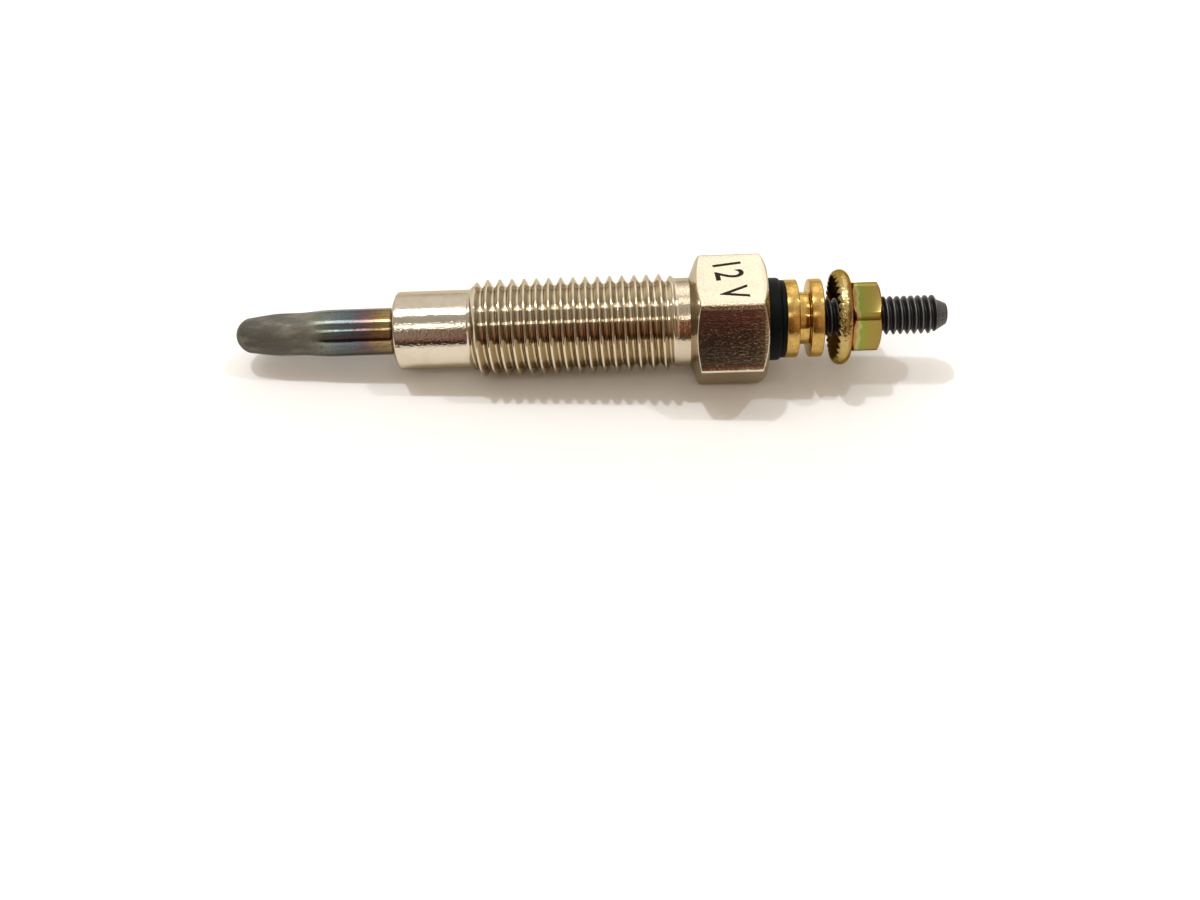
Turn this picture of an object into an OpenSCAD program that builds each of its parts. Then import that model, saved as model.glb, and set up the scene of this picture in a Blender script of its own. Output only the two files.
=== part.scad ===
// Diesel glow plug with a swaged metal sheath, lying on its hexagon.
// The axis is X: heater tip towards -X, terminal stud towards +X.
// The origin is on the axis, at the front face of the conical seat.

/* [Heater] */
// Length of the sheath in front of the seat
sheath_free_l = 16.6; // [14:0.1:20]
// Length of the sheath inside the housing
sheath_seat_l = 14; // [10:0.5:16]
// Outer diameter of the sheath at the housing
sheath_d = 4.85; // [4.5:0.05:5.2]
// Outer diameter of the swaged front of the sheath
sheath_front_d = 4.4; // [4.1:0.05:4.6]
// Outer diameter where the domed tip begins
sheath_tip_d = 3.6; // [3:0.1:3.9]
// Length of the domed tip
dome_l = 1.3; // [1:0.1:1.7]
// Length of the tapered stretch behind the dome
taper_l = 3; // [2:0.1:4]
// Length of the parallel front
front_l = 3; // [2:0.1:4]
// Length of the swaged step up to the full diameter
step_l = 2.1; // [1:0.1:2.5]
// Wall of the sheath
sheath_wall = 0.6; // [0.4:0.05:0.75]
// Thickness of the closed tip
tip_wall = 1.2; // [0.8:0.1:1.5]

/* [Housing] */
// Diameter of the plain nose
nose_d = 8.05; // [7:0.05:8.2]
// Length of the nose, seat included
nose_l = 8; // [6:0.1:12]
// Diameter of the flat face inside the conical seat
seat_face_d = 5.6; // [5.3:0.1:6.5]
// Length of the conical seat along the axis
seat_l = 0.6; // [0.3:0.1:1.5]
// Major diameter of the mounting thread
thread_d = 9.9; // [9.7:0.05:10.2]
// Pitch of the mounting thread
thread_pitch = 1.25; // [1:0.05:1.5]
// Length of the mounting thread
thread_l = 21.3; // [15:0.1:26]
// Length of the thread's lead-in
thread_lead_l = 0.8; // [0.3:0.1:1.5]
// Diameter of the neck between thread and hexagon
neck_d = 9; // [8.6:0.1:9.6]
// Length of the neck
neck_l = 1.1; // [0.8:0.1:3]
// Hexagon across flats
hex_af = 12; // [11:0.5:14]
// Length of the hexagon
hex_l = 7.7; // [6.5:0.1:10]
// Diameter of the flat end face inside the hexagon's rear chamfer
hex_face_d = 11.6; // [10:0.1:11.9]
// Slope of the hexagon's front face
hex_front_slope = 22; // [0:1:30]
// Angle of the hexagon's rear chamfer
hex_chamfer = 30; // [15:1:40]
// Bore of the housing round the centre rod
bore_d = 5; // [4.6:0.1:5.6]
// Bore for the ring seal and the bush at the rear
counterbore_d = 6.2; // [5.8:0.1:7]
// Depth of that counterbore
counterbore_l = 4.4; // [3.5:0.1:6]

/* [Terminal] */
// Diameter of the bush's flange
bush_d = 8.4; // [7.5:0.1:9.5]
// Thickness of the bush's flange
bush_l = 1.5; // [1:0.05:2.5]
// Rounding of the flange's outer edge
bush_edge = 0.4; // [0.1:0.05:0.6]
// Diameter of the insulating washer
washer_d = 7.9; // [7:0.1:9]
// Thickness of the insulating washer
washer_l = 0.4; // [0.3:0.05:1]
// Diameter of the round terminal nut
spool_d = 7.95; // [7:0.05:9]
// Length of its front collar
spool_front_l = 1.3; // [0.8:0.1:2]
// Length of its groove
groove_l = 1.15; // [0.6:0.05:2]
// Diameter at the bottom of the groove
groove_d = 5.3; // [4.6:0.1:6]
// Length of its rear collar
spool_rear_l = 1.3; // [0.8:0.1:2]
// Chamfer on the edges of the collars
spool_edge = 0.15; // [0.05:0.05:0.3]
// Distance between the round nut and the flange nut
nut_gap = 1.15; // [0.1:0.05:2]
// Flange nut across flats
nut_af = 6.85; // [6.5:0.05:7]
// Flange nut across its rounded corners
nut_corner_d = 7.65; // [7.5:0.05:7.8]
// Diameter of the nut's flat end face
nut_face_d = 6.6; // [6:0.1:6.8]
// Height of the flange nut
nut_h = 4.55; // [4:0.05:6]
// Diameter of the nut's flange
flange_d = 9.65; // [9:0.05:11]
// Thickness of the flange's round rim
rim_d = 1.75; // [1.4:0.05:2.2]
// Distance from the flange's underside to the middle of the rim
rim_set = 0.75; // [0.5:0.05:0.8]
// Length of the round collar between rim and hexagon
collar_l = 0.3; // [0.2:0.1:0.8]
// Width of the flat lip round the flange's underside
lip_w = 0.15; // [0.05:0.05:0.4]
// Depth of the dish inside that lip
dish_l = 0.6; // [0.2:0.1:1]
// Depth of the serrations on the flange's underside
tooth_l = 0.3; // [0.1:0.05:0.5]
// Width of the groove between two serrations, at the lip
tooth_w = 0.55; // [0.3:0.05:0.7]
// Number of serrations
tooth_count = 36; // [18:1:48]
// Turn of the flange nut from the housing's hexagon
nut_turn = 14; // [-30:1:30]
// Major diameter of the terminal stud
stud_d = 3.9; // [3.7:0.05:4.2]
// Pitch of the stud's thread
stud_pitch = 0.7; // [0.5:0.05:0.8]
// Length of the stud behind the hexagon
stud_l = 18.3; // [16:0.05:24]
// Length of the stud's thread
stud_thread_l = 17.5; // [12:0.1:18]
// Length of the stud's point
point_l = 1.05; // [0.5:0.05:2]
// Diameter where the point begins
point_d = 3.3; // [2.8:0.1:3.6]
// Diameter of the point's flat end
point_end_d = 2.1; // [0.8:0.1:2.6]

/* [Inside] */
// Diameter of the rod between the sheath and the stud
shank_d = 3.4; // [3:0.1:3.6]
// Diameter of the rod inside the sheath
rod_front_d = 2.2; // [2.1:0.1:2.4]
// Length of the rod's pin that carries the control coil
rod_pin_l = 2; // [1:0.1:3]
// Distance from the seat back to the rod's front end
rod_reach = 2; // [1:0.1:4]
// Diameter of the coils' wire
wire_d = 0.36; // [0.25:0.01:0.4]
// Pitch of the heating coil
heating_pitch = 0.6; // [0.5:0.05:1]
// Pitch of the control coil
control_pitch = 0.65; // [0.5:0.05:1]
// Powder between the coils and the sheath
powder_gap = 0.3; // [0.2:0.05:0.4]
// Length of the rubber seal in the sheath's mouth
seal_l = 1.6; // [1:0.1:3]
// Set-back of that seal from the sheath's rear end
seal_inset = 0.4; // [0:0.1:1]
// Distance from the sheath's rear end to the rod's shoulder
shoulder_gap = 1; // [0.5:0.1:2]
// Distance from the sheath's rear end to the step in the bore
bore_relief = 0.3; // [0.1:0.1:1]

/* [Fits] */
// Radial clearance of the sheath in the housing
sheath_fit = 0.01; // [0:0.01:0.05]
// Radial clearance of both nuts, the washer and the bush on the stud
stud_fit = 0.05; // [0.02:0.01:0.1]
// Radial clearance of the bush in the counterbore
bush_fit = 0.05; // [0.02:0.01:0.1]
// Clearance of the ring seal in its space
ring_fit = 0.02; // [0.01:0.01:0.05]
// Clearance of the coils in the powder and on the rod
coil_fit = 0.04; // [0.02:0.01:0.05]

/* [Hidden] */
$fn = 64;
wire_sides = 6;
turn_steps = 12;
flank_angle = 30;
// How far a cutting body runs past the face it opens
past = 1;

// Stations along the axis, from tip to stud end
tip_x = -sheath_free_l;
taper_x = tip_x + dome_l;
front_x = taper_x + taper_l;
step_x = front_x + front_l;
full_x = step_x + step_l;
cavity_x = tip_x + tip_wall;
thread_x = nose_l;
neck_x = thread_x + thread_l;
hex_x = neck_x + neck_l;
rear_x = hex_x + hex_l;
counterbore_x = rear_x - counterbore_l;
washer_x = rear_x + bush_l;
spool_x = washer_x + washer_l;
groove_x = spool_x + spool_front_l;
spool_rear_x = groove_x + groove_l;
spool_end_x = spool_rear_x + spool_rear_l;
nut_x = spool_end_x + nut_gap;
nut_hex_x = nut_x + rim_set + rim_d / 2 + collar_l;
nut_end_x = nut_x + nut_h;
stud_end_x = rear_x + stud_l;
point_x = stud_end_x - point_l;
stud_thread_x = point_x - stud_thread_l;
seal_end_x = sheath_seat_l - seal_inset;
seal_x = seal_end_x - seal_l;
rod_x = -rod_reach;
rod_pin_x = rod_x + rod_pin_l;
shoulder_x = sheath_seat_l + shoulder_gap;

// Radii that follow from the sizes above
sheath_bore_r = sheath_d / 2 - sheath_wall;
front_bore_r = sheath_front_d / 2 - sheath_wall;
tip_bore_r = sheath_tip_d / 2 - sheath_wall;
wire_r = wire_d / 2;
coil_r = front_bore_r - powder_gap - wire_r;
rod_pin_r = coil_r - wire_r - coil_fit;
stud_hole_r = stud_d / 2 + stud_fit;
dome_r = (pow(sheath_tip_d / 2, 2) + pow(dome_l, 2)) / (2 * dome_l);
ring_space = (counterbore_d - shank_d) / 2;
ring_r = ring_space / 2 - ring_fit;
rim_center_r = flange_d / 2 - rim_d / 2;
dish_r = rim_center_r + sqrt(pow(rim_d / 2, 2) - pow(rim_set, 2)) - lip_w;

// A round piece, drawn as its half-section with the radius along x and the plug's axis along y
module turned() {
    rotate([0, 90, 0]) rotate_extrude() children();
}

// A hexagonal bar along the axis with one flat facing up
module hex_bar(across_flats, from_x, to_x) {
    translate([from_x, 0, 0]) rotate([0, 90, 0]) rotate([0, 0, 30])
        cylinder(d = across_flats / cos(30), h = to_x - from_x, $fn = 6);
}

// Half-section of a thread: one crest in each pitch, 60 degree flanks, drawn without the lead
function thread_points(r, pitch, from_x, length, lead_r, lead_l) =
    let (depth = 0.6134 * pitch,
         land = pitch / 16,
         flank = depth * tan(flank_angle))
    [for (k = [0:floor(length / pitch) - 1])
        let (x = from_x + (k + 0.5) * pitch,
             crest_r = min(r, lead_r + (r - lead_r) * (x - from_x) / lead_l))
        each [[r - depth, x - flank - land], [crest_r, x - land],
              [crest_r, x + land], [r - depth, x + flank + land]]];

module housing() {
    cone_l = (hex_af / cos(30) - neck_d) / 2 * tan(hex_front_slope);
    chamfer_l = (hex_af / cos(30) - hex_face_d) / 2 * tan(hex_chamfer);
    corner_r = hex_af / cos(30) / 2;
    color("#c9c4b4") difference() {
        union() {
            turned() polygon(concat(
                [[0, 0], [seat_face_d / 2, 0], [nose_d / 2, seat_l], [nose_d / 2, thread_x]],
                thread_points(thread_d / 2, thread_pitch, thread_x, thread_l, nose_d / 2, thread_lead_l),
                [[neck_d / 2, neck_x], [neck_d / 2, hex_x + cone_l], [0, hex_x + cone_l]]));
            intersection() {
                hex_bar(hex_af, hex_x, rear_x);
                turned() polygon([[0, hex_x], [neck_d / 2, hex_x], [corner_r, hex_x + cone_l],
                                  [corner_r, rear_x - chamfer_l], [hex_face_d / 2, rear_x], [0, rear_x]]);
            }
        }
        housing_bore();
    }
}

// The bore runs through: a seat for the sheath, room round the rod, and the counterbore at the rear
module housing_bore() {
    seat_r = sheath_d / 2 + sheath_fit;
    relief_x = sheath_seat_l + bore_relief;
    turned() polygon([[0, -past], [seat_r, -past], [seat_r, relief_x], [bore_d / 2, relief_x],
                      [bore_d / 2, counterbore_x], [counterbore_d / 2, counterbore_x],
                      [counterbore_d / 2, rear_x + past], [0, rear_x + past]]);
}

// Half-section of the space inside the sheath, up to the given station
module cavity_section(to_x) {
    polygon([[0, cavity_x], [tip_bore_r, cavity_x], [front_bore_r, front_x], [front_bore_r, step_x],
             [sheath_bore_r, full_x], [sheath_bore_r, to_x], [0, to_x]]);
}

module heater_sheath() {
    color("#6e6a5c") turned() difference() {
        union() {
            intersection() {
                translate([0, tip_x + dome_r]) circle(r = dome_r);
                translate([0, tip_x]) square([sheath_d, dome_l]);
            }
            polygon([[0, taper_x], [sheath_tip_d / 2, taper_x], [sheath_front_d / 2, front_x],
                     [sheath_front_d / 2, step_x], [sheath_d / 2, full_x],
                     [sheath_d / 2, sheath_seat_l], [0, sheath_seat_l]]);
        }
        cavity_section(sheath_seat_l + past);
    }
}

// A coil of round wire about the axis, from one station to another, starting at the given turn
module coil(from_x, to_x, pitch, start_turn) {
    steps = ceil((to_x - from_x) / pitch * turn_steps);
    points = [for (i = [0:steps]) for (j = [0:wire_sides - 1])
        let (share = i / steps,
             turn = 360 * (start_turn + share * (to_x - from_x) / pitch),
             side = 360 * j / wire_sides,
             r = coil_r + wire_r * cos(side))
        [from_x + share * (to_x - from_x) + wire_r * sin(side), r * cos(turn), r * sin(turn)]];
    walls = [for (i = [0:steps - 1]) for (j = [0:wire_sides - 1])
        let (a = i * wire_sides, b = a + wire_sides, next = (j + 1) % wire_sides)
        [a + j, a + next, b + next, b + j]];
    caps = [[for (j = [wire_sides - 1:-1:0]) j], [for (j = [0:wire_sides - 1]) steps * wire_sides + j]];
    polyhedron(points = points, faces = concat(walls, caps), convexity = 10);
}

// Turn at which the heating coil ends and the control coil takes over
coil_joint_turn = (full_x - front_x) / heating_pitch;

// The lead runs from the closed tip along the axis and out to the coil's first turn
module heating_lead(r) {
    translate([cavity_x, 0, 0]) rotate([0, 90, 0]) cylinder(r = r, h = front_x - cavity_x);
    translate([front_x, 0, 0]) rotate([-90, 0, 0]) cylinder(r = r, h = coil_r);
    translate([front_x, 0, 0]) sphere(r = r);
}

module heating_coil() {
    color("#8d8478") {
        coil(front_x, full_x, heating_pitch, 0);
        heating_lead(wire_r);
    }
}

module control_coil() {
    color("#a59c8c") coil(full_x, rod_pin_x - wire_d, control_pitch, coil_joint_turn);
}

// Packed powder fills the sheath, leaving an annular channel for the coils and a socket for the rod
module magnesia_fill() {
    channel_r = wire_r + coil_fit;
    color("#e6e1d6") difference() {
        turned() difference() {
            cavity_section(seal_x);
            polygon([[coil_r - channel_r, front_x - channel_r], [coil_r + channel_r, front_x - channel_r],
                     [coil_r + channel_r, rod_pin_x], [coil_r - channel_r, rod_pin_x]]);
            polygon([[0, rod_x], [rod_pin_r, rod_x], [rod_pin_r, rod_pin_x], [rod_front_d / 2, rod_pin_x],
                     [rod_front_d / 2, seal_x + past], [0, seal_x + past]]);
        }
        heating_lead(channel_r);
    }
}

module sheath_seal() {
    color("#2f2c29") turned()
        translate([rod_front_d / 2, seal_x]) square([sheath_bore_r - rod_front_d / 2, seal_l]);
}

module center_rod() {
    color("#2b2b2e") turned() polygon(concat(
        [[0, rod_x], [rod_pin_r, rod_x], [rod_pin_r, rod_pin_x], [rod_front_d / 2, rod_pin_x],
         [rod_front_d / 2, shoulder_x], [shank_d / 2, shoulder_x], [shank_d / 2, stud_thread_x]],
        thread_points(stud_d / 2, stud_pitch, stud_thread_x, stud_thread_l, shank_d / 2, stud_pitch / 2),
        [[point_d / 2, point_x], [point_end_d / 2, stud_end_x], [0, stud_end_x]]));
}

module o_ring() {
    color("#1d1d1e") turned()
        translate([(counterbore_d + shank_d) / 4, counterbore_x + ring_space / 2]) circle(r = ring_r);
}

module insulating_bush() {
    spigot_x = counterbore_x + ring_space;
    spigot_r = counterbore_d / 2 - bush_fit;
    flange_r = bush_d / 2;
    color("#20211f") turned() {
        translate([stud_hole_r, spigot_x]) square([spigot_r - stud_hole_r, washer_x - spigot_x]);
        translate([stud_hole_r, rear_x]) square([flange_r - stud_hole_r, bush_l - bush_edge]);
        translate([stud_hole_r, rear_x]) square([flange_r - bush_edge - stud_hole_r, bush_l]);
        translate([flange_r - bush_edge, washer_x - bush_edge]) circle(r = bush_edge);
    }
}

module insulating_washer() {
    color("#141515") turned()
        translate([stud_hole_r, washer_x]) square([washer_d / 2 - stud_hole_r, washer_l]);
}

// A round nut like a spool: two collars with a turned groove between them
module terminal_nut() {
    collar_r = spool_d / 2;
    edge_r = collar_r - spool_edge;
    color("#c08a3c") turned() polygon([
        [stud_hole_r, spool_x], [edge_r, spool_x], [collar_r, spool_x + spool_edge],
        [collar_r, groove_x - spool_edge], [edge_r, groove_x], [groove_d / 2, groove_x],
        [groove_d / 2, spool_rear_x], [edge_r, spool_rear_x], [collar_r, spool_rear_x + spool_edge],
        [collar_r, spool_end_x - spool_edge], [edge_r, spool_end_x], [stud_hole_r, spool_end_x]]);
}

// Hexagon nut with a round-rimmed flange, dished and serrated underneath
module flange_nut() {
    rim_end_x = nut_hex_x - collar_l;
    color("#a99a45") rotate([nut_turn, 0, 0]) difference() {
        union() {
            turned() {
                intersection() {
                    translate([rim_center_r, nut_x + rim_set]) circle(d = rim_d);
                    translate([0, nut_x]) square([flange_d, rim_d]);
                }
                translate([0, nut_x]) square([rim_center_r, rim_end_x - nut_x]);
                translate([0, nut_x]) square([nut_af / 2, nut_hex_x - nut_x]);
            }
            nut_hexagon();
        }
        turned() polygon([[0, nut_x - past], [dish_r, nut_x - past], [dish_r, nut_x],
                          [stud_hole_r, nut_x + dish_l], [stud_hole_r, nut_end_x + past],
                          [0, nut_end_x + past]]);
        for (i = [0:tooth_count - 1]) rotate([360 / tooth_count * i, 0, 0]) serration();
    }
}

// The nut's hexagon, its corners rounded by the drawn bar and turned off at both ends
module nut_hexagon() {
    corner_r = nut_corner_d / 2;
    face_r = nut_face_d / 2;
    chamfer_l = (corner_r - face_r) * tan(hex_chamfer);
    intersection() {
        hex_bar(nut_af, nut_hex_x - chamfer_l, nut_end_x);
        turned() polygon([[0, nut_hex_x - chamfer_l], [face_r, nut_hex_x - chamfer_l], [corner_r, nut_hex_x],
                          [corner_r, nut_end_x - chamfer_l], [face_r, nut_end_x], [0, nut_end_x]]);
    }
}

// One radial groove with a V section, cut into the lip of the dish
module serration() {
    linear_extrude(height = flange_d / 2)
        polygon([[nut_x - tooth_l, -tooth_w], [nut_x + tooth_l, 0], [nut_x - tooth_l, tooth_w]]);
}

housing();
heater_sheath();
heating_coil();
control_coil();
magnesia_fill();
sheath_seal();
center_rod();
o_ring();
insulating_bush();
insulating_washer();
terminal_nut();
flange_nut();
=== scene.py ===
# Diesel glow plug, put together from the heater tip to the terminal stud.
# Metres, in the CAD frame: the axis is X, the tip points to -X and the stud to +X.
import bmesh
import bpy
from math import acos, asin, atan2, ceil, cos, hypot, pi, radians, sin, tan
from mathutils import Matrix, Vector


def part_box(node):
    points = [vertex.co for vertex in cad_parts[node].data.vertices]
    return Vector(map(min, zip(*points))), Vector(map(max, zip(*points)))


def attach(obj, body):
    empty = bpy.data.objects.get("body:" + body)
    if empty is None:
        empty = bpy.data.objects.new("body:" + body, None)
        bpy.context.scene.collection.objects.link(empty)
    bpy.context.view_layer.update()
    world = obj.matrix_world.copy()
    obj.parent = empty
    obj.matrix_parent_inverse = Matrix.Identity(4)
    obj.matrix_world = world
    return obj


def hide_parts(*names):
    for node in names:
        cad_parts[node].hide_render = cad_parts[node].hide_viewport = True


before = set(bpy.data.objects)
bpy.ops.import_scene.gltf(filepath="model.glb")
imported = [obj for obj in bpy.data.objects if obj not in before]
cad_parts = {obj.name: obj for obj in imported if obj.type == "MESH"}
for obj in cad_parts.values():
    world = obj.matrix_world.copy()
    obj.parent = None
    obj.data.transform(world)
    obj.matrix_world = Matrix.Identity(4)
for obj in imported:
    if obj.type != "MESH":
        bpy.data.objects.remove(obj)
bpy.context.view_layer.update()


# Heater sheath: a tube of heat-resisting steel with a closed, domed tip, swaged down in two steps round
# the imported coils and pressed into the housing. Its first glow left grey scale on the front and a band of
# temper colours where the housing keeps it cooler.
MM = 0.001
sheath_low, sheath_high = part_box("heater_sheath")
tip_x, sheath_end_x, sheath_r = sheath_low[0], sheath_high[0], sheath_high[2]
dome_l, dome_end_r = 1.3 * MM, 1.8 * MM
dome_r = (dome_end_r ** 2 + dome_l ** 2) / (2 * dome_l)
taper_end_x, step_x, full_x = tip_x + 4.3 * MM, tip_x + 7.3 * MM, tip_x + 9.4 * MM
front_r, sheath_wall, tip_wall, swage_ease = 2.2 * MM, 0.6 * MM, 1.2 * MM, 0.7 * MM
round_sides, dome_steps = 96, 10


def turned(section):
    """A closed body of revolution about the plug's axis, from (station, radius) points."""
    bm = bmesh.new()
    points = [bm.verts.new((x, r, 0)) for x, r in section]
    edges = [bm.edges.new(pair) for pair in zip(points, points[1:])]
    bmesh.ops.spin(bm, geom=points + edges, axis=(1, 0, 0), cent=(0, 0, 0), angle=2 * pi, steps=round_sides,
                   use_merge=True)
    bmesh.ops.remove_doubles(bm, verts=bm.verts, dist=0.0001 * MM)
    bmesh.ops.recalc_face_normals(bm, faces=bm.faces)
    return bm


def bevelled(bm, edges, offset, segments):
    """Rounds the given edges."""
    bmesh.ops.bevel(bm, geom=edges, offset=offset, offset_type="OFFSET", affect="EDGES", segments=segments,
                    profile=0.5, material=-1, clamp_overlap=True)


def rounded(bm, offset, segments, sharper_than, stations=None):
    """Rounds the edges that fold by more than an angle, all over or at the given stations only."""
    folds = [e for e in bm.edges if e.is_manifold and e.calc_face_angle() > sharper_than and (
        stations is None or any(all(abs(v.co.x - x) < 0.001 * MM for v in e.verts) for x in stations))]
    bevelled(bm, folds, offset, segments)


def placed(name, data):
    """A new object in the scene, at the origin."""
    made = bpy.data.objects.new(name, data)
    bpy.context.scene.collection.objects.link(made)
    return made


def piece(bm, node, material):
    """The finished piece, which stands for a CAD node and rides with the plug."""
    mesh = bpy.data.meshes.new(node + "_mesh")
    bm.to_mesh(mesh)
    bm.free()
    mesh.shade_smooth()
    mesh.set_sharp_from_angle(angle=radians(40))
    mesh.materials.append(material)
    made = placed(node + "_piece", mesh)
    made.modifiers.new("flat_faces", "WEIGHTED_NORMAL").keep_sharp = True
    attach(made, "root")
    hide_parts(node)


class Field:
    """A node's output as a value that can be reckoned with: arithmetic on fields adds Math nodes."""

    def __init__(self, socket):
        self.socket = socket

    def feed(self, node, sockets):
        """Sets or links the sockets of a node."""
        for name, value in sockets.items():
            if isinstance(value, Field):
                node.id_data.links.new(value.socket, node.inputs[name])
            else:
                node.inputs[name].default_value = value

    def node(self, kind, settings, sockets, output=0):
        """Adds any other node: its type, its settings, then the values or links of its sockets."""
        made = self.socket.id_data.nodes.new("ShaderNode" + kind)
        for name, value in settings.items():
            if name == "stops":
                elements = made.color_ramp.elements
                elements.remove(elements[1])
                elements[0].position, elements[0].color = value[0][0], (*value[0][1], 1)
                for at, colour in value[1:]:
                    elements.new(at).color = (*colour, 1)
            else:
                setattr(made, name, value)
        self.feed(made, sockets)
        return Field(made.outputs[output])

    def math(self, operation, *values):
        return self.node("Math", {"operation": operation}, dict(enumerate(values)))

    def __add__(self, other):
        return self.math("ADD", self, other)

    def __sub__(self, other):
        return self.math("SUBTRACT", self, other)

    def __rsub__(self, other):
        return self.math("SUBTRACT", other, self)

    def __mul__(self, other):
        return self.math("MULTIPLY", self, other)

    def __truediv__(self, other):
        return self.math("DIVIDE", self, other)

    __radd__, __rmul__ = __add__, __mul__

    def axis(self, name):
        """One coordinate of a place."""
        return self.node("SeparateXYZ", {}, {"Vector": self}, name)

    def radius(self):
        """Distance of a place from the plug's axis."""
        y, z = self.axis("Y"), self.axis("Z")
        return self.math("SQRT", y * y + z * z)

    def between(self, low, high):
        """0 below low and 1 above high, with a smooth change between them."""
        return self.node("MapRange", {"interpolation_type": "SMOOTHSTEP"},
                         {"Value": self, "From Min": low, "From Max": high})

    def grain(self, size, stretch=(1, 1, 1), detail=2):
        """Noise over a place, in lumps of about this size, drawn out along each axis."""
        at = self.node("VectorMath", {"operation": "MULTIPLY"}, {0: self, 1: [1 / (size * s) for s in stretch]})
        return self.node("TexNoise", {}, {"Vector": at, "Scale": 1, "Detail": detail})

    def ramp(self, *stops):
        """A colour for each value from 0 to 1."""
        return self.node("ValToRGB", {"stops": stops}, {"Fac": self})

    def mix(self, at_0, at_1):
        """One colour where the field is 0 and another where it is 1."""
        colours = [c if isinstance(c, Field) else (*c, 1) for c in (at_0, at_1)]
        return self.node("Mix", {"data_type": "RGBA"}, {"Factor": self, 6: colours[0], 7: colours[1]}, 2)

    def relief(self, height):
        """The bent normals of a surface that rises by this height where the field goes from 0 to 1."""
        return self.node("Bump", {}, {"Height": self, "Distance": height, "Strength": 1})


def new_finish(name):
    """A new material, and the place of each point on the plug."""
    material = bpy.data.materials.new(name)
    material.use_nodes = True
    return material, Field(material.node_tree.nodes.new("ShaderNodeTexCoord").outputs["Object"])


def coat(material, place, sockets):
    """Sets the sockets of a material's own surface shader."""
    place.feed(material.node_tree.nodes["Principled BSDF"], sockets)


scaled_steel, place = new_finish("scaled_steel")
along = place.axis("X")
wander = (place.grain(1.3 * MM, detail=3) - 0.5) * (2.2 * MM)
share = (along + wander - tip_x) / (0 - tip_x)
temper = share.ramp((0.00, (0.082, 0.077, 0.063)), (0.30, (0.105, 0.097, 0.076)), (0.46, (0.135, 0.124, 0.095)),
                    (0.55, (0.22, 0.23, 0.18)), (0.61, (0.21, 0.250, 0.215)), (0.68, (0.155, 0.195, 0.210)),
                    (0.75, (0.135, 0.150, 0.170)), (0.81, (0.165, 0.120, 0.140)), (0.86, (0.215, 0.135, 0.115)),
                    (0.92, (0.32, 0.200, 0.085)), (1.00, (0.41, 0.29, 0.125)))
streaks = place.grain(0.13 * MM, (16, 1, 1), 3)
smears = place.grain(0.8 * MM, (3, 1, 1), 4)
specks = place.grain(0.22 * MM, detail=4)
polish = share.between(0.43, 0.60)
matte = 1 - polish
scratch = (place.grain(0.10 * MM, (14, 1, 1)).between(0.66, 0.72)
           * place.grain(1.2 * MM, (2, 1, 1)).between(0.50, 0.60))
# The sheath's lower half is darkened here along with the grey scale spots: that darkening of the underside is painted
# shade.
underside_painted_shade = 1 - place.axis("Z").between(0.35 * MM, 0.95 * MM)
scale_and_underside_shade = (specks.between(0.40, 0.75) * 0.30 + streaks.between(0.40, 0.70) * 0.30
          + underside_painted_shade * (0.25 + 0.15 * polish))
scale_and_shade_colour = scale_and_underside_shade.mix(temper, (0.050, 0.048, 0.040))
coat(scaled_steel, place, {
    "Base Color": ((scratch * 0.7 + smears.between(0.48, 0.70) * 0.45) * matte).mix(scale_and_shade_colour, (0.24, 0.225, 0.175)),
    "Metallic": 0.25 + 0.75 * polish,
    "Specular Tint": (0.7, 0.7, 0.7, 1),
    "Roughness": 0.55 - 0.44 * polish + 0.12 * (specks - 0.5) - 0.15 * scratch * matte,
    "Normal": (streaks * 0.7 + specks * 0.6 + smears * 0.8 * matte).relief(0.006 * MM),
})

dome = [asin(dome_end_r / dome_r) * i / dome_steps for i in range(dome_steps + 1)]
sheath = turned(
    [(tip_x + dome_r * (1 - cos(a)), dome_r * sin(a)) for a in dome]
    + [(taper_end_x, front_r), (step_x, front_r), (full_x, sheath_r), (sheath_end_x, sheath_r),
       (sheath_end_x, sheath_r - sheath_wall), (full_x, sheath_r - sheath_wall),
       (step_x, front_r - sheath_wall), (taper_end_x, front_r - sheath_wall),
       (tip_x + tip_wall, dome_end_r - sheath_wall), (tip_x + tip_wall, 0)])
rounded(sheath, swage_ease, 5, radians(3), [taper_end_x, step_x, full_x])
piece(sheath, "heater_sheath", scaled_steel)


# Heating coil and control coil: resistance wire wound in two lengths and welded end to end. The heating
# coil is welded into the sheath's tip and the control coil runs on to the centre rod.
def dress(node, material):
    """Gives a CAD node its finish."""
    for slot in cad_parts[node].material_slots:
        slot.material = material


coil_wire, place = new_finish("coil_wire")
drawn = place.grain(0.08 * MM, detail=3)
coat(coil_wire, place, {
    "Base Color": drawn.ramp((0.3, (0.20, 0.18, 0.16)), (0.7, (0.46, 0.42, 0.37))),
    "Metallic": 1,
    "Roughness": 0.35 + 0.2 * drawn,
    "Normal": drawn.relief(0.004 * MM),
})
dress("heating_coil", coil_wire)
dress("control_coil", coil_wire)


# Magnesia: insulating powder, poured round the coils and packed hard when the sheath is swaged.
packed_powder, place = new_finish("packed_powder")
grit = place.grain(0.10 * MM, detail=5)
coat(packed_powder, place, {
    "Base Color": grit.ramp((0.3, (0.62, 0.58, 0.50)), (0.7, (0.86, 0.83, 0.76))),
    "Roughness": 0.75 + 0.2 * grit,
    "Normal": grit.relief(0.02 * MM),
})
dress("magnesia_fill", packed_powder)


# Two rubber rings: one closes the sheath's mouth round the rod, the other seals the housing under the bush.
soft_rubber, place = new_finish("soft_rubber")
bloom = place.grain(0.5 * MM, detail=4)
coat(soft_rubber, place, {
    "Base Color": bloom.ramp((0.35, (0.012, 0.012, 0.012)), (0.75, (0.04, 0.04, 0.038))),
    "Roughness": 0.5 + 0.25 * bloom,
    "Normal": place.grain(0.12 * MM).relief(0.005 * MM),
})
dress("sheath_seal", soft_rubber)
dress("o_ring", soft_rubber)


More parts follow.
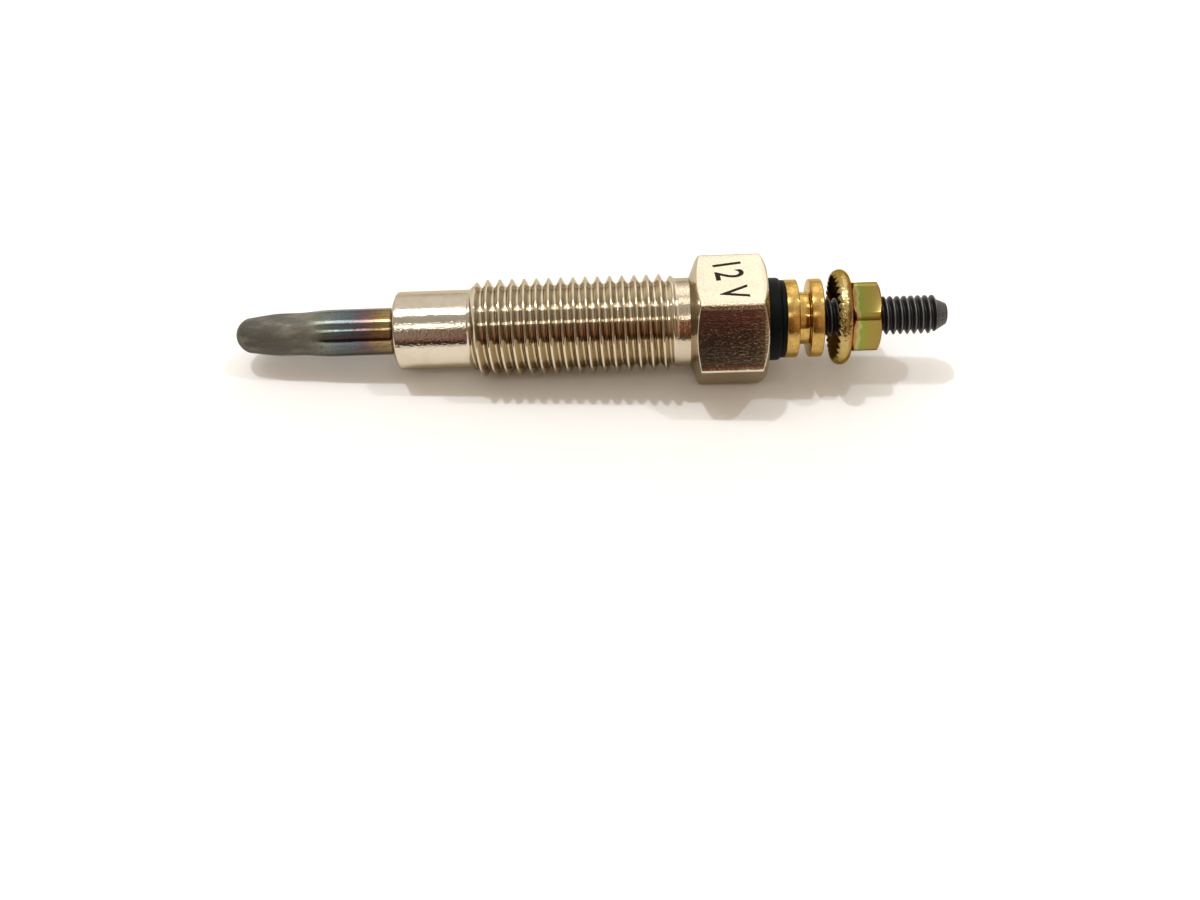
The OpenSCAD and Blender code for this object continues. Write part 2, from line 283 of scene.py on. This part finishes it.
# Housing: one steel shell, cold formed, turned and bored, with a rolled M10 thread, then nickel plated.
# The cone at its front seals in the cylinder head; the 12 mm hexagon takes the spanner.
rear_x, _, hex_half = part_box("housing")[1]
nose_r, seat_face_r, seat_l = 4.025 * MM, 2.8 * MM, 0.6 * MM
thread_x, neck_x, hex_x = 8.0 * MM, 29.3 * MM, rear_x - 7.7 * MM
thread_r, thread_pitch, neck_r = 4.95 * MM, 1.25 * MM, 4.5 * MM
thread_depth, lead_slope, thread_sides, front_turns = 0.6134, 0.95, 120, 5
crest_x, crest_turn = 11.125 * MM, radians(45)
hex_face_r, front_slope, rear_chamfer = 5.8 * MM, radians(22), radians(30)
seat_ease, corner_round, hex_edge = 0.15 * MM, 0.20 * MM, 0.09 * MM
press_r, press_l, rod_bore_r = sheath_r + 0.01 * MM, 14.3 * MM, 2.5 * MM
counterbore_x, counterbore_r = rear_x - 4.4 * MM, 3.1 * MM
bore = [(0, press_r), (press_l, press_r), (press_l, rod_bore_r), (counterbore_x, rod_bore_r),
        (counterbore_x, counterbore_r), (rear_x, counterbore_r)]


def eased(value, low, high):
    """0 below low and 1 above high, with a smooth change between them."""
    share = min(max((value - low) / (high - low), 0), 1)
    return share * share * (3 - 2 * share)


def flank_height(share):
    """Height of a 60 degree thread, 0 at the root and 1 at the crest; share is 0 at a crest, 0.5 at a root."""
    root_share, flank_share, corner = 0.4167, 0.354, 0.09
    slope = (root_share - abs(share)) / flank_share
    for limit, sign in ((1, -1), (0, 1)):
        near = max(corner - abs(slope - limit), 0)
        slope = sign * max(sign * slope, sign * limit) + sign * near * near / (4 * corner)
    return slope


def thread_wall(bm, from_x, to_x, pitch, sides, start_x, wall):
    """A tube swept along a right-hand helix, so that its edges follow the thread, and cut off square.
    A crest starts at start_x; wall(station, turn) gives the radius. Returns the edges at the two ends."""
    half = (0.025, 0.045, 0.065, 0.085, 0.12, 0.24, 0.36, 0.39, 0.415, 0.44, 0.47, 0.5)
    points = [bm.verts.new((start_x + pitch * share, MM, 0)) for share in [-h for h in half[::-1]] + [0] + list(half)]
    edges = [bm.edges.new(pair) for pair in zip(points, points[1:])]
    bmesh.ops.spin(bm, geom=points + edges, axis=(1, 0, 0), cent=(0, 0, 0), dvec=(pitch / sides, 0, 0),
                   angle=2 * pi, steps=sides)
    first_turn = bm.verts[:] + bm.edges[:] + bm.faces[:]
    for i in range(ceil((to_x - start_x) / pitch)):
        turn = bmesh.ops.duplicate(bm, geom=first_turn)["geom"]
        bmesh.ops.translate(bm, verts=[v for v in turn if isinstance(v, bmesh.types.BMVert)],
                            vec=(pitch * (i + 1), 0, 0))
    bmesh.ops.remove_doubles(bm, verts=bm.verts, dist=0.005 * MM)
    for v in bm.verts:
        turn = atan2(v.co.z, v.co.y)
        radius = wall(v.co.x, turn)
        v.co.y, v.co.z = radius * cos(turn), radius * sin(turn)
    ends = []
    for x, keep in ((from_x, 1), (to_x, -1)):
        cut = bmesh.ops.bisect_plane(bm, geom=bm.verts[:] + bm.edges[:] + bm.faces[:], dist=0.0001 * MM,
                                     plane_co=(x, 0, 0), plane_no=(keep, 0, 0), clear_inner=True)
        ends.append([e for e in cut["geom_cut"] if isinstance(e, bmesh.types.BMEdge)])
    return ends


def ring_on(bm, edges, place):
    """Extrudes a ring of edges; place(turn) gives the station and radius of each new point."""
    made = bmesh.ops.extrude_edge_only(bm, edges=edges)["geom"]
    points = {v for v in made if isinstance(v, bmesh.types.BMVert)}
    for v in points:
        turn = atan2(v.co.z, v.co.y)
        x, r = place(turn)
        v.co = (x, r * cos(turn), r * sin(turn))
    return [e for e in made if isinstance(e, bmesh.types.BMEdge) and points.issuperset(e.verts)]


def hexagon_r(turn, half):
    """Distance from the axis to the side of a hexagon with one flat facing up."""
    return half / cos((turn + radians(120)) % radians(60) - radians(30))


def housing_wall(x, turn):
    """Radius of the thread, which starts on a chamfer from the nose and runs out into the neck."""
    share = ((x - crest_x) / thread_pitch - (turn - crest_turn) / (2 * pi) + 0.5) % 1 - 0.5
    root_r = thread_r - thread_depth * thread_pitch
    cut = root_r + (thread_r - root_r) * flank_height(share)
    lead = nose_r + max(x - thread_x, 0) * lead_slope
    run_out = eased(x, neck_x - thread_pitch, neck_x)
    return min(lead, cut + (neck_r - cut) * run_out)


shell = bmesh.new()
crest_start_x = crest_x - crest_turn / (2 * pi) * thread_pitch - front_turns * thread_pitch
front_ring, neck_ring = thread_wall(shell, thread_x - 0.05 * MM, neck_x + 0.05 * MM, thread_pitch, thread_sides,
                                    crest_start_x, housing_wall)
inner_ring = front_ring
for station, radius in [(seat_l, nose_r), (0, seat_face_r)] + bore:
    inner_ring = ring_on(shell, inner_ring, lambda turn: (station, radius))
upright = Matrix.Rotation(radians(90), 4, "Y")
collar = bmesh.ops.create_circle(shell, segments=round_sides, radius=neck_r,
                                 matrix=Matrix.Translation((hex_x, 0, 0)) @ upright)["verts"]
collar_ring = list({e for v in collar for e in v.link_edges})
bmesh.ops.bridge_loops(shell, edges=neck_ring + collar_ring)
outer_ring = ring_on(shell, collar_ring, lambda turn: (
    hex_x + (hexagon_r(turn, hex_half) - neck_r) * tan(front_slope), hexagon_r(turn, hex_half)))
outer_ring = ring_on(shell, outer_ring, lambda turn: (
    rear_x - (hexagon_r(turn, hex_half) - hex_face_r) * tan(rear_chamfer), hexagon_r(turn, hex_half)))
outer_ring = ring_on(shell, outer_ring, lambda turn: (rear_x, hex_face_r))
bmesh.ops.bridge_loops(shell, edges=outer_ring + inner_ring)
bmesh.ops.recalc_face_normals(shell, faces=shell.faces)
corners = [e for e in shell.edges if e.is_manifold and e.calc_face_angle() > radians(40)
           and e.calc_length() > 4 * MM and all(hypot(v.co.y, v.co.z) > hex_half for v in e.verts)]
bevelled(shell, corners, corner_round, 4)
rims = [e for e in shell.edges if e.is_manifold and e.calc_face_angle() > radians(20)
        and all(hypot(v.co.y, v.co.z) > hex_face_r - 0.01 * MM and v.co.x > hex_x for v in e.verts)]
bevelled(shell, rims, hex_edge, 3)
rounded(shell, seat_ease, 4, radians(25), [seat_l])

nickel_plate, place = new_finish("nickel_plate")
along = place.axis("X")
on_hexagon = along.between(hex_x + 0.1 * MM, hex_x + 0.5 * MM)
on_marked_flat = on_hexagon * place.axis("Z").between(hex_half - 0.12 * MM, hex_half - 0.02 * MM)
on_corner = on_hexagon * place.radius().between(hex_half + 0.65 * MM, hex_half + 0.80 * MM)
on_nose = 1 - along.between(thread_x, thread_x + 0.5 * MM)
on_thread = (1 - on_nose) * (1 - along.between(neck_x - 0.9 * MM, neck_x - 0.3 * MM))
in_groove = on_thread * (1 - place.radius().between(thread_r - 0.40 * MM, thread_r - 0.05 * MM))
on_neck = along.between(neck_x - 0.7 * MM, neck_x - 0.1 * MM) * (
    1 - along.between(hex_x + 0.3 * MM, hex_x + 0.6 * MM))
turning = place.grain(0.09 * MM, (1, 12, 12), 3)
peel = place.grain(0.26 * MM, (1, 0.8, 0.8), 2)
drawing = place.grain(0.17 * MM, (2.5, 1, 1), 4)
low_down = 1 - place.axis("Z").between(-3.2 * MM, -1.2 * MM)
scores = (place.grain(0.11 * MM, (7, 1, 1)).between(0.62, 0.69) * on_hexagon
          * place.grain(1.2 * MM).between(0.45, 0.60) * low_down)
flecks = place.grain(0.13 * MM, (2.5, 1, 1), 3).between(0.52, 0.70)
on_chamfer = along.between(rear_x - 0.6 * MM, rear_x - 0.4 * MM)
pits = place.grain(0.14 * MM, detail=3).between(0.66, 0.78) * (1 - on_hexagon)
stain = place.grain(1.6 * MM, detail=4)
# The thread's grooves are darker than the plate, and darker again on their lower side: painted shade.
groove_painted_shade = place.axis("Z").between(2.0 * MM, 3.6 * MM).mix((0.50, 0.42, 0.285), (0.61, 0.55, 0.445))
# The neck before the hexagon is darker too: painted shade in that recess. So clean holds the plate colour with
# painted shade in the grooves and on the neck.
clean = on_neck.mix(in_groove.mix((0.655, 0.585, 0.465), groove_painted_shade), (0.56, 0.485, 0.375))
mottle = on_marked_flat * place.grain(0.13 * MM, detail=4).between(0.42, 0.66) * 0.45
plate = mottle.mix(clean, (0.50, 0.41, 0.31))
coat(nickel_plate, place, {
    "Base Color": (pits * 0.6 + stain.between(0.45, 0.8) * 0.20).mix(plate, (0.33, 0.27, 0.19)),
    "Metallic": 1,
    "Specular Tint": (0.62, 0.57, 0.47, 1),
    "Roughness": (0.07 - 0.03 * on_hexagon + 0.22 * on_marked_flat + 0.16 * on_chamfer + 0.02 * on_nose + 0.12 * pits
                  + 0.25 * scores + 0.16 * on_hexagon * flecks),
    "Normal": (turning * (1 - on_hexagon) * (0.35 + 0.15 * on_nose + 0.30 * on_neck)
               + peel * (on_nose * 2.6 + on_neck * 2.2 + on_corner * 4)
               + drawing * on_hexagon * (0.45 + 1.6 * on_marked_flat) - pits * 0.8 - scores * 0.2).relief(0.008 * MM),
})
piece(shell, "housing", nickel_plate)


# Voltage mark: burnt into the plate of one flat by a laser, as a thin dark film.
mark_h, mark_film, mark_bold, mark_width, mark_slant = 2.8 * MM, 0.008 * MM, 0.05 * MM, 0.66, radians(8)
capital_share = 0.7
words = bpy.data.curves.new("voltage_words", "FONT")
words.body, words.size, words.extrude = "12 V", mark_h / capital_share, mark_film
words.align_x, words.align_y, words.space_character = "CENTER", "CENTER", 1.1
words.offset = mark_bold
draft = bpy.data.objects.new("voltage_words", words)
mark = bpy.data.meshes.new_from_object(draft)
bpy.data.objects.remove(draft)
reads_across = Matrix(((0, 1, 0), (-1, 0, 0), (0, 0, 1))).to_4x4()
mark.transform(Matrix.Translation(((hex_x + rear_x) / 2, 0, hex_half)) @ Matrix.Rotation(mark_slant, 4, "Z")
               @ reads_across @ Matrix.Diagonal((mark_width, 1, 1, 1)))

burnt_plate, place = new_finish("burnt_plate")
scorch = place.grain(0.15 * MM, detail=3)
coat(burnt_plate, place, {
    "Base Color": scorch.ramp((0.35, (0.010, 0.005, 0.004)), (0.75, (0.040, 0.020, 0.013))),
    "Specular IOR Level": 0.1,
    "Roughness": 0.5 + 0.2 * scorch,
})
mark.materials.clear()
mark.materials.append(burnt_plate)
voltage_mark = placed("voltage_mark", mark)
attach(voltage_mark, "root")


# Centre rod: one steel bar that carries the current to the coils. Its rear end is an M4 stud, rolled and
# then blackened; the crests are rubbed pale by the nuts.
rod_low, rod_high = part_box("center_rod")
rod_x, stud_end_x, stud_r = rod_low[0], rod_high[0], rod_high[2]
stud_pitch, stud_crest_x = 0.7 * MM, 50.8 * MM
stud_thread_x, point_x, point_r, point_end_r = 37.85 * MM, stud_end_x - 1.05 * MM, 1.65 * MM, 1.05 * MM
shank_x, shank_r, rod_front_r, rod_pin_r = 15 * MM, 1.7 * MM, 1.1 * MM, 0.9 * MM
point_slope, point_ease, stud_sides, hidden_turns = 1.2, 0.12 * MM, 72, 21


def stud_wall(x, turn):
    """Radius of the stud's thread, which runs out into the shank and starts on the point's cone."""
    share = ((x - stud_crest_x) / stud_pitch - (turn - crest_turn) / (2 * pi) + 0.5) % 1 - 0.5
    root_r = stud_r - thread_depth * stud_pitch
    cut = root_r + (stud_r - root_r) * flank_height(share)
    cut += (shank_r - cut) * (1 - eased(x, stud_thread_x, stud_thread_x + stud_pitch))
    return min(cut, point_r + max(point_x - x, 0) * point_slope)


rod = bmesh.new()
stud_start_x = stud_crest_x - crest_turn / (2 * pi) * stud_pitch - hidden_turns * stud_pitch
shank_ring, point_ring = thread_wall(rod, stud_thread_x, point_x, stud_pitch, stud_sides, stud_start_x,
                                     stud_wall)
for station, radius in [(shank_x, shank_r), (shank_x, rod_front_r), (0, rod_front_r), (0, rod_pin_r),
                        (rod_x, rod_pin_r), (rod_x, 0)]:
    shank_ring = ring_on(rod, shank_ring, lambda turn: (station, radius))
for station, radius in [(stud_end_x - point_ease, point_end_r + point_ease / 2),
                        (stud_end_x - point_ease / 3, point_end_r),
                        (stud_end_x, point_end_r - point_ease * 0.75), (stud_end_x, 0)]:
    point_ring = ring_on(rod, point_ring, lambda turn: (station, radius))
bmesh.ops.remove_doubles(rod, verts=rod.verts, dist=0.0001 * MM)
bmesh.ops.recalc_face_normals(rod, faces=rod.faces)

black_oxide, place = new_finish("black_oxide")
rubbed = place.radius().between(stud_r - 0.10 * MM, stud_r - 0.01 * MM)
soot = place.grain(0.2 * MM, detail=4)
on_point = place.axis("X").between(point_x - 0.1 * MM, point_x + 0.1 * MM)
bare = on_point * place.grain(0.10 * MM, detail=4).between(0.35, 0.65)
coat(black_oxide, place, {
    "Base Color": (rubbed * (0.15 + 0.75 * soot) + bare * 0.45).mix((0.028, 0.028, 0.030), (0.30, 0.29, 0.28)),
    "Metallic": 0.7,
    "Roughness": 0.34 + 0.25 * soot,
    "Normal": (soot + bare * 1.5).relief(0.02 * MM),
})
piece(rod, "center_rod", black_oxide)


# Insulating bush: black moulded resin, its spigot in the housing's counterbore, its flange on the end face.
bush_low, bush_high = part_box("insulating_bush")
spigot_x, bush_end_x, bush_r = bush_low[0], bush_high[0], bush_high[2]
stud_hole_r, spigot_r, bush_edge = stud_r + 0.05 * MM, 3.05 * MM, 0.4 * MM
bush = turned([(spigot_x, stud_hole_r), (spigot_x, spigot_r), (rear_x, spigot_r), (rear_x, bush_r),
               (bush_end_x, bush_r), (bush_end_x, stud_hole_r), (spigot_x, stud_hole_r)])
rounded(bush, bush_edge, 6, radians(60), [bush_end_x])

black_resin, place = new_finish("black_resin")
cloud = place.grain(0.6 * MM, detail=4)
coat(black_resin, place, {
    "Base Color": cloud.ramp((0.35, (0.001, 0.003, 0.002)), (0.75, (0.003, 0.005, 0.004))),
    "Specular IOR Level": 0.07,
    "Roughness": 0.4 + 0.2 * cloud,
    "Normal": place.grain(0.15 * MM, (1, 3, 3)).relief(0.008 * MM),
})
piece(bush, "insulating_bush", black_resin)


# Insulating washer: a thin black ring between the bush and the brass nut.
washer_low, washer_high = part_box("insulating_washer")
washer_x, washer_end_x, washer_r, washer_edge = washer_low[0], washer_high[0], washer_high[2], 0.06 * MM
washer = turned([(washer_x, stud_hole_r), (washer_x, washer_r), (washer_end_x, washer_r),
                 (washer_end_x, stud_hole_r), (washer_x, stud_hole_r)])
rounded(washer, washer_edge, 2, radians(60))
piece(washer, "insulating_washer", black_resin)


# Terminal nut: turned from brass bar, two round collars with a groove between them, screwed down on the bush.
spool_low, spool_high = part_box("terminal_nut")
spool_x, spool_end_x, spool_r = spool_low[0], spool_high[0], spool_high[2]
groove_x, groove_end_x, groove_r, spool_edge = spool_x + 1.3 * MM, spool_x + 2.45 * MM, 2.65 * MM, 0.15 * MM
spool = turned([(spool_x, stud_hole_r), (spool_x, spool_r), (groove_x, spool_r), (groove_x, groove_r),
                (groove_end_x, groove_r), (groove_end_x, spool_r), (spool_end_x, spool_r),
                (spool_end_x, stud_hole_r), (spool_x, stud_hole_r)])
rounded(spool, spool_edge, 4, radians(60), [spool_x, groove_x, groove_end_x, spool_end_x])

worn_brass, place = new_finish("worn_brass")
turning = place.grain(0.06 * MM, (1, 12, 12), 3)
tarnish = place.grain(0.45 * MM, detail=5)
specks = place.grain(0.13 * MM, detail=2).between(0.66, 0.72)
on_collar = place.radius().between(groove_r + 0.05 * MM, groove_r + 0.25 * MM)
clean = tarnish.ramp((0.30, (0.40, 0.245, 0.070)), (0.50, (0.49, 0.31, 0.088)), (0.70, (0.57, 0.39, 0.13)))
coat(worn_brass, place, {
    "Base Color": (specks * on_collar * 0.85).mix(clean, (0.12, 0.06, 0.015)),
    "Metallic": 1,
    "Specular Tint": (0.80, 0.72, 0.50, 1),
    "Roughness": 0.07 + on_collar * (0.15 - 0.06 * tarnish) + 0.15 * specks,
    "Normal": (turning * (0.2 + 0.8 * on_collar) + tarnish * (0.2 + 1.6 * on_collar)
               - specks * 0.5).relief(0.006 * MM),
})
piece(spool, "terminal_nut", worn_brass)


# Flange nut: cold formed steel, zinc plated and yellow chromated. The flange has a full-round rim and a
# dished underside with radial serrations; it is only run on by hand, clear of the brass nut.
nut_low, nut_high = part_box("flange_nut")
nut_x, nut_end_x, nut_half, nut_turn = nut_low[0], nut_high[0], 3.425 * MM, radians(14)
nut_corner_r, nut_face_r, corner_ease = 3.825 * MM, 3.3 * MM, 0.15 * MM
rim_x, rim_center_r, rim_r = nut_x + 0.75 * MM, 3.95 * MM, 0.875 * MM
rim_end_x, nut_hex_x = rim_x + rim_r, rim_x + rim_r + 0.3 * MM
lip_lean = acos((rim_x - nut_x) / rim_r)
dish_l, dish_r = 0.6 * MM, rim_center_r + rim_r * sin(lip_lean) - 0.15 * MM
tooth_count, tooth_l, tooth_half = 36, 0.3 * MM, 0.275 * MM
rim_steps, nut_foot, nut_hold, nut_edge = 16, 0.06 * MM, 0.05 * MM, 0.08 * MM


def toothed(station, radius, turn):
    """A point of the underside, pushed in where a V groove between two teeth runs through it."""
    off = ((turn * tooth_count / (2 * pi) + 0.5) % 1 - 0.5) * 2 * pi / tooth_count
    return max(station, nut_x + tooth_l * (1 - abs(off) * radius / tooth_half)), radius


def nut_r(turn):
    """Distance from the axis to the side of the nut's hexagon, with its corners eased to a round."""
    flat_r = hexagon_r(turn, nut_half)
    near = max(corner_ease - abs(flat_r - nut_corner_r), 0)
    return min(flat_r, nut_corner_r) - near * near / (4 * corner_ease)


nut = bmesh.new()
hole = bmesh.ops.create_circle(nut, segments=tooth_count * 8, radius=stud_hole_r,
                               matrix=Matrix.Translation((nut_end_x, 0, 0)) @ upright)["verts"]
hole_ring = list({e for v in hole for e in v.link_edges})
ring = ring_on(nut, hole_ring, lambda turn: (nut_x + dish_l, stud_hole_r))
for share in (0.45, 0.6, 0.75, 0.88, 1):
    ring = ring_on(nut, ring, lambda turn: toothed(nut_x + dish_l * (1 - share),
                                                   stud_hole_r + (dish_r - stud_hole_r) * share, turn))
for i in range(rim_steps + 1):
    rim_lean = lip_lean + (pi - lip_lean) * i / rim_steps
    ring = ring_on(nut, ring, lambda turn: toothed(rim_x - rim_r * cos(rim_lean),
                                                   rim_center_r + rim_r * sin(rim_lean), turn))
ring = ring_on(nut, ring, lambda turn: (rim_end_x, nut_half + nut_foot))
for held in (0, nut_hold):
    ring = ring_on(nut, ring, lambda turn: (nut_hex_x + held - (nut_corner_r - nut_r(turn)) * tan(rear_chamfer),
                                            nut_r(turn)))
ring = ring_on(nut, ring, lambda turn: (nut_end_x - (nut_r(turn) - nut_face_r) * tan(rear_chamfer), nut_r(turn)))
ring = ring_on(nut, ring, lambda turn: (nut_end_x, nut_face_r))
bmesh.ops.bridge_loops(nut, edges=ring + hole_ring)
bmesh.ops.rotate(nut, verts=nut.verts, cent=(0, 0, 0), matrix=Matrix.Rotation(nut_turn, 3, "X"))
bmesh.ops.recalc_face_normals(nut, faces=nut.faces)
rims = [e for e in nut.edges if e.is_manifold and radians(20) < e.calc_face_angle() < radians(100)
        and all(v.co.x > nut_hex_x + 0.1 * MM and hypot(v.co.y, v.co.z) > stud_hole_r + 0.1 * MM for v in e.verts)]
bevelled(nut, rims, nut_edge, 3)

yellow_chromate, place = new_finish("yellow_chromate")
along = place.axis("X")
film = (along - nut_x + (place.grain(0.9 * MM, detail=3) - 0.5) * (0.9 * MM)) / (nut_end_x - nut_x)
lumps = place.grain(0.34 * MM, detail=2)
pores = place.grain(0.12 * MM, detail=3)
on_rim = 1 - along.between(rim_end_x - 0.2 * MM, rim_end_x)
in_dish = (1 - place.radius().between(dish_r - 0.1 * MM, dish_r + 0.1 * MM)) * (1 - along.between(rim_x, rim_end_x))
hue = film.ramp((0.00, (0.45, 0.34, 0.13)), (0.22, (0.45, 0.34, 0.13)), (0.30, (0.38, 0.19, 0.07)),
                (0.42, (0.34, 0.17, 0.06)), (0.47, (0.36, 0.36, 0.14)), (0.53, (0.20, 0.26, 0.045)),
                (0.66, (0.26, 0.225, 0.048)), (1.00, (0.29, 0.19, 0.055)))
# Inside the dish the colour is near black on the upper side and dark olive on the lower side: painted shade in the
# recess.
dish_painted_shade = place.axis("Z").between(-1.8 * MM, 0.2 * MM).mix((0.12, 0.08, 0.030), (0.005, 0.003, 0.002))
coat(yellow_chromate, place, {
    "Base Color": in_dish.mix((pores.between(0.52, 0.70) * 0.45).mix(hue, (0.24, 0.15, 0.05)), dish_painted_shade),
    "Metallic": 1,
    "Specular Tint": (0.40, 0.32, 0.16, 1),
    "Roughness": 0.11 + 0.04 * on_rim + 0.06 * lumps * on_rim + 0.40 * in_dish,
    "Normal": ((lumps * 2.6 + pores * 0.25) * on_rim).relief(0.03 * MM),
})
piece(nut, "flange_nut", yellow_chromate)


# The table: the plug rests on the hexagon's lower front edge and on the thread's first full crest, so the
# table leans a little against the plug's axis.
rest_x, crest_rest_x = hex_x + 0.6 * MM, thread_x + 1.5 * thread_pitch
lean, table_half = (hex_half - thread_r) / (rest_x - crest_rest_x), 1.5
table = bmesh.new()
bmesh.ops.create_grid(table, x_segments=8, y_segments=8, size=table_half)
bmesh.ops.rotate(table, verts=table.verts, cent=(0, 0, 0), matrix=Matrix.Rotation(atan2(lean, 1), 3, "Y"))
bmesh.ops.translate(table, verts=table.verts, vec=(rest_x, 0, -hex_half))
table_mesh = bpy.data.meshes.new("table")
table.to_mesh(table_mesh)
table.free()
white_board, place = new_finish("white_board")
coat(white_board, place, {"Base Color": (0.88, 0.875, 0.87, 1), "Roughness": 0.8})
table_mesh.materials.append(white_board)
table_top = placed("table", table_mesh)


# Light: two lamps above and behind, left and right, and the warm glow of the walls. The room has two long
# ceiling lights; it is pale behind the plug, dark red towards the viewer, warm past the stud and dim at both ends.
aim, cool_white, warm_white = Vector((20 * MM, 0, 0)), (0.88, 0.94, 1.0), (1.0, 0.79, 0.54)


def lamp(name, direction, distance, size, irradiance, colour):
    """A round lamp that points at the plug and gives this share of full light on the table."""
    direction = Vector(direction).normalized()
    light = bpy.data.lights.new(name, "AREA")
    light.shape, light.size, light.color = "DISK", size, colour
    light.energy = irradiance * pi * pi * distance ** 2 / direction.z
    made = placed(name, light)
    made.location = aim + direction * distance
    made.rotation_euler = direction.to_track_quat("Z", "Y").to_euler()
    return made


lamp("lamp_left", (-0.19, 0.20, 1.00), 0.8, 0.035, 0.28, cool_white)
lamp("lamp_right", (0.50, 0.20, 1.00), 0.8, 0.035, 0.16, cool_white)
lamp("walls_glow", (0, 0, 1.00), 0.8, 1.2, 0.18, warm_white).visible_glossy = False

room = bpy.data.worlds.new("room")
bpy.context.scene.world = room
room.use_nodes = True
sky = Field(room.node_tree.nodes.new("ShaderNodeTexCoord").outputs["Generated"])
arch = sky.math("ARCTAN2", sky.axis("Z"), 0 - sky.axis("Y")) / pi
across = sky.axis("X")
gloom, ceiling, back_wall = (0.045, 0.033, 0.027), (0.50, 0.47, 0.43), (0.92, 0.88, 0.83)
near_tube, far_tube = (4.0, 3.9, 3.7), (3.5, 3.4, 3.25)
heater_side = arch.ramp((0.000, gloom), (0.079, gloom), (0.083, (0.155, 0.055, 0.045)), (0.100, (0.28, 0.15, 0.12)),
                        (0.130, (0.37, 0.26, 0.22)), (0.170, (0.34, 0.29, 0.25)), (0.304, (0.34, 0.30, 0.26)),
                        (0.310, near_tube), (0.342, near_tube), (0.348, ceiling), (0.530, ceiling),
                        (0.537, far_tube), (0.612, far_tube), (0.619, back_wall), (0.880, back_wall),
                        (0.960, (0.75, 0.69, 0.62)), (1.000, (0.50, 0.45, 0.39)))
table_edge, dark_gap = (0.20, 0.155, 0.115), (0.022, 0.016, 0.013)
near_tube_end, far_tube_end = (2.6, 2.5, 2.3), (1.5, 1.43, 1.3)
stud_side = arch.ramp((0.000, table_edge), (0.055, table_edge), (0.058, dark_gap), (0.069, dark_gap),
                      (0.073, (0.180, 0.055, 0.045)), (0.105, (0.17, 0.065, 0.05)), (0.140, (0.55, 0.35, 0.20)),
                      (0.270, (0.60, 0.40, 0.24)), (0.336, (0.60, 0.50, 0.40)), (0.341, near_tube_end),
                      (0.356, near_tube_end), (0.361, (0.65, 0.56, 0.46)), (0.480, (0.85, 0.77, 0.67)),
                      (0.622, (1.02, 0.96, 0.86)), (0.627, far_tube_end), (0.642, far_tube_end),
                      (0.647, (1.10, 1.04, 0.94)), (0.700, (2.80, 2.68, 2.46)), (0.800, (3.10, 2.98, 2.74)),
                      (0.860, (1.45, 1.37, 1.24)), (0.930, (0.95, 0.88, 0.78)), (1.000, (0.55, 0.50, 0.43)))
viewer = (arch.between(0.079, 0.083) * (1 - arch.between(0.27, 0.29))
          * across.between(-0.17, -0.13) * (1 - across.between(0.06, 0.11)))
bands = viewer.mix(across.between(-0.03, 0.09).mix(heater_side, stud_side), (0.20, 0.055, 0.040))
stud_end = arch.ramp((0.080, (0.36, 0.24, 0.13)), (0.120, (0.58, 0.38, 0.22)), (0.300, (0.80, 0.58, 0.38)),
                     (0.340, (1.05, 0.85, 0.62)), (0.500, (0.92, 0.84, 0.73)), (0.640, (0.98, 0.93, 0.85)),
                     (0.720, (1.75, 1.67, 1.52)), (0.880, (1.65, 1.57, 1.42)), (1.000, (0.90, 0.84, 0.74)))
ends = (across * across).between(0.12, 0.50)
far_ends = arch.ramp((0.30, (0.20, 0.165, 0.12)), (0.60, (0.60, 0.55, 0.48)))
room_light = ends.mix(across.between(0.10, 0.13).mix(bands, stud_end), far_ends)
seen = sky.node("LightPath", {}, {}, "Is Camera Ray")
sky.feed(room.node_tree.nodes["Background"], {"Color": seen.mix(room_light, (1, 1, 1))})


# Camera: close above the plug and a little to its stud end, as the photograph was taken.
lens_px, frame_px, sensor_mm = 1170.7, 1200, 36
eye = Vector((25.96, -81.94, 89.16)) * MM
right, up, back = (0.99874, 0.00290, -0.05009), (0.02741, 0.80458, 0.59321), (0.04202, -0.59383, 0.80349)
view = bpy.data.cameras.new("view")
view.sensor_width, view.lens, view.clip_start = sensor_mm, sensor_mm * lens_px / frame_px, 10 * MM
camera = placed("view", view)
camera.matrix_world = Matrix.Translation(eye) @ Matrix((right, up, back)).transposed().to_4x4()
bpy.context.scene.camera = camera
bpy.context.scene.view_settings.view_transform = "Standard"
